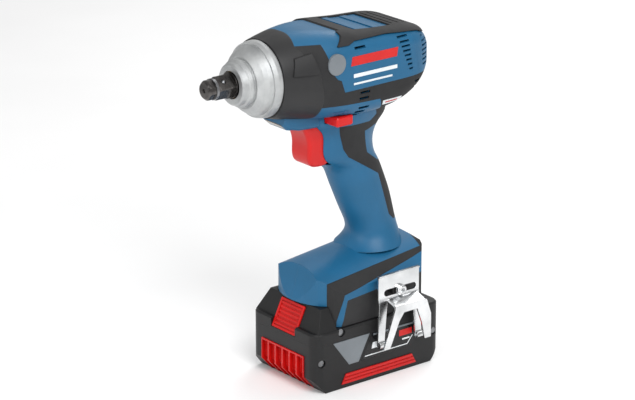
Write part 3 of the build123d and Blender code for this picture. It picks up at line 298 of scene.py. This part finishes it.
def spread(rail, steps):
    """The points of a rail, with each straight part cut into steps."""
    points = []
    for start, end in zip(rail, rail[1:]):
        points += [between(start, end, step / steps) for step in range(steps)]
    return points + [rail[-1]]


ALONG = 12               # steps along each straight part of a laid piece
ACROSS = 4               # steps from one of its rails to the other


def laid(name, side, rail_a, rail_b, tree, body, material, slot_name, rise, sink=0.2):
    """A thin closed piece between two rails, following the surface under it.

    It stands rise millimetres out of the surface and reaches sink millimetres into it.
    """
    outer, inner = [], []
    for near, far in zip(spread(rail_a, ALONG), spread(rail_b, ALONG)):
        for step in range(ACROSS + 1):
            start, ray = ray_from(side, *between(near, far, step / ACROSS))
            hit = tree.ray_cast(start, ray)[0]
            if hit is None:
                raise ValueError(f"{name} has no surface under it")
            outer.append(hit - ray * rise * MM)
            inner.append(hit + ray * sink * MM)
    row = ACROSS + 1
    rows = len(outer) // row
    count = len(outer)
    faces = []
    for i in range(rows - 1):
        for j in range(ACROSS):
            corner = i * row + j
            quad = (corner, corner + 1, corner + row + 1, corner + row)
            faces.append(quad)
            faces.append(tuple(count + index for index in reversed(quad)))
    rim = list(range(ACROSS))
    rim += [i * row + ACROSS for i in range(rows - 1)]
    rim += [(rows - 1) * row + j for j in range(ACROSS, 0, -1)]
    rim += [i * row for i in range(rows - 1, 0, -1)]
    for start, end in zip(rim, rim[1:] + rim[:1]):
        faces.append((start, count + start, count + end, end))
    mesh = bpy.data.meshes.new(name)
    mesh.from_pydata(outer + inner, [], faces)
    mesh.update()
    mesh.materials.append(material)
    piece = bpy.data.objects.new(name, mesh)
    bpy.context.collection.objects.link(piece)
    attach(piece, body)


bpy.context.view_layer.update()
tool_skin = surface_tree(
    "left_housing", "right_housing", "left_grip_overmould", "right_grip_overmould",
    "rear_cover", "battery_socket",
)
battery_skin = surface_tree(
    "battery_lower_case", "battery_upper_case", "blank_label_plates", "blank_badge_plates",
)
WHITE = (PRINT_WHITE, "badge_grey")
RED = (PRINT_RED, "red_plastic")
GREY = (MATERIALS["badge_grey"], "badge_grey")
BLUE = (DEEP_BLUE, "housing_plastic")

# Plain level bars where the tool's side is printed: x range, heights from the drive axis,
# finish, rise and slant, all in millimetres
TOOL_BARS = {
    "name_bar": ((-18, 24), (6.4, 13.0), RED, 0.25, 1.2),
    "class_bar": ((-18.5, 21.5), (-2.4, 0.3), WHITE, 0.15, 0.0),
    "type_bar": ((-14, 21.5), (-7.6, -6.2), WHITE, 0.15, 0.0),
    "note_plate": ((-25, -6.5), (-27.7, -24.2), WHITE, 0.3, -0.6),
    "note_line": ((-20, -8.5), (-26.4, -25.4), RED, 0.42, 0.0),
    "arrow_shaft": ((26.5, 35), (-27.2, -26.4), BLUE, 0.3, 0.0),
}
ARROW_UPPER = [(27, -25.2), (23.4, -26.7)]
ARROW_LOWER = [(27, -28.4), (23.4, -26.9)]
ARROW_RISE = 0.35

# Plain marks on the battery's blank plates, with heights from the floor
BATTERY_BARS = {
    "seam_line": ((-33, 5.5), (34.0, 35.4), GREY, 0.12, 0.0),
    "charge_patch": ((-31, -19), (27.0, 31.6), RED, 0.14, 0.0),
    "charge_bar": ((-29, -22), (23.6, 24.8), WHITE, 0.12, 0.0),
    "volt_bar": ((-1, 7), (24.0, 28.6), WHITE, 0.12, 1.0),
}
EDGE_LINE_UPPER = [(13, 19.9), (-26.6, 19.9), (-31.4, 25.6)]
EDGE_LINE_LOWER = [(13.4, 19.2), (-26.9, 19.2), (-32, 25.2)]
EDGE_LINE_RISE = 0.12


def lifted(rail, base):
    """The rail's points with their heights counted from a base."""
    return [(x, base + z) for x, z in rail]


def level_bars(bars, side, base, tree, body):
    """Every bar of a table on one side; its upper edge leans back by its slant."""
    for name, (x_range, z_range, finish, rise, slant) in bars.items():
        upper = lifted([(x - slant, z_range[1]) for x in x_range], base)
        lower = lifted([(x, z_range[0]) for x in x_range], base)
        laid(f"{name}_{side}", side, upper, lower, tree, body, *finish, rise)


for side in ("left", "right"):
    level_bars(TOOL_BARS, side, DRIVE_HEIGHT, tool_skin, "tool_body")
    laid(f"arrow_head_{side}", side, lifted(ARROW_UPPER, DRIVE_HEIGHT), lifted(ARROW_LOWER, DRIVE_HEIGHT),
         tool_skin, "tool_body", *BLUE, ARROW_RISE)
    level_bars(BATTERY_BARS, side, 0.0, battery_skin, "battery")
    laid(f"edge_line_{side}", side, EDGE_LINE_UPPER, EDGE_LINE_LOWER,
         battery_skin, "battery", *WHITE, EDGE_LINE_RISE)

# Two cross ribs on the blue panel on top of the motor: front and rear edge
TOP_RIBS = [(8.5, 3.0), (-8.0, -13.5)]
RIB_HALF_LENGTH = 19
for number, (front, rear) in enumerate(TOP_RIBS):
    rib_rails = [[(x, -RIB_HALF_LENGTH), (x, RIB_HALF_LENGTH)] for x in (front, rear)]
    laid(f"top_rib_{number + 1}", "top", *rib_rails, tool_skin, "tool_body",
         MATERIALS["housing_plastic"], "housing_plastic", rise=0.8, sink=0.4)


# ---------------------------------------------------------------- stage, light and camera
def stage_floor():
    """A plain pale floor."""
    mesh = bpy.data.meshes.new("floor")
    reach = 6.0
    corners = [(-reach, -reach, 0), (reach, -reach, 0), (reach, reach, 0), (-reach, reach, 0)]
    mesh.from_pydata(corners, [], [(0, 1, 2, 3)])
    floor = bpy.data.objects.new("floor", mesh)
    bpy.context.collection.objects.link(floor)
    m = Material("floor_paper")
    m.colour(m.noise(3, 3), linear("f4f4f4"), linear("f8f8f8"))
    m.roughness(m.noise(8, 2), 0.8, 0.9)
    mesh.materials.append(m.material)
    floor.location.z = CAD_BOX[0][2] - 0.0002


def soft_light(name, place, target, size, power):
    """A white area light aimed at a point."""
    data = bpy.data.lights.new(name, "AREA")
    data.shape = "RECTANGLE"
    data.size, data.size_y = size
    data.energy = power
    light = bpy.data.objects.new(name, data)
    light.location = place
    direction = Vector(target) - Vector(place)
    light.rotation_euler = direction.to_track_quat("-Z", "Y").to_euler()
    bpy.context.collection.objects.link(light)


def studio():
    """Even white surroundings, with a key light from the tool's front left."""
    stage_floor()
    world = bpy.data.worlds.new("studio")
    world.use_nodes = True
    background = world.node_tree.nodes["Background"]
    background.inputs["Color"].default_value = (1, 1, 1, 1)
    background.inputs["Strength"].default_value = 0.55
    bpy.context.scene.world = world
    centre = (0.0, 0.0, 0.14)
    soft_light("key_light", (0.35, 1.1, 1.25), centre, (0.9, 0.9), 19)
    soft_light("nose_light", (1.5, 0.2, 0.75), centre, (0.6, 1.0), 7)
    soft_light("rim_light", (-1.1, -0.5, 1.1), centre, (0.9, 0.9), 9)


def photo_camera():
    """Looks at the tool from its front left, a little above, with a long lens."""
    data = bpy.data.cameras.new("camera")
    data.sensor_width = 36.0
    data.lens = 156.23
    data.clip_end = 20.0
    camera = bpy.data.objects.new("camera", data)
    heading = math.radians(38.72)
    elevation = math.radians(19.02)
    distance = 1.97357
    target = Vector((0.027, 0.0, 0.13187))
    level = math.cos(elevation)
    back = Vector((math.sin(heading) * level, math.cos(heading) * level, math.sin(elevation)))
    camera.location = target + back * distance
    camera.rotation_euler = back.to_track_quat("Z", "Y").to_euler()
    bpy.context.collection.objects.link(camera)
    bpy.context.scene.camera = camera


studio()
photo_camera()
bpy.context.scene.view_settings.view_transform = "Standard"
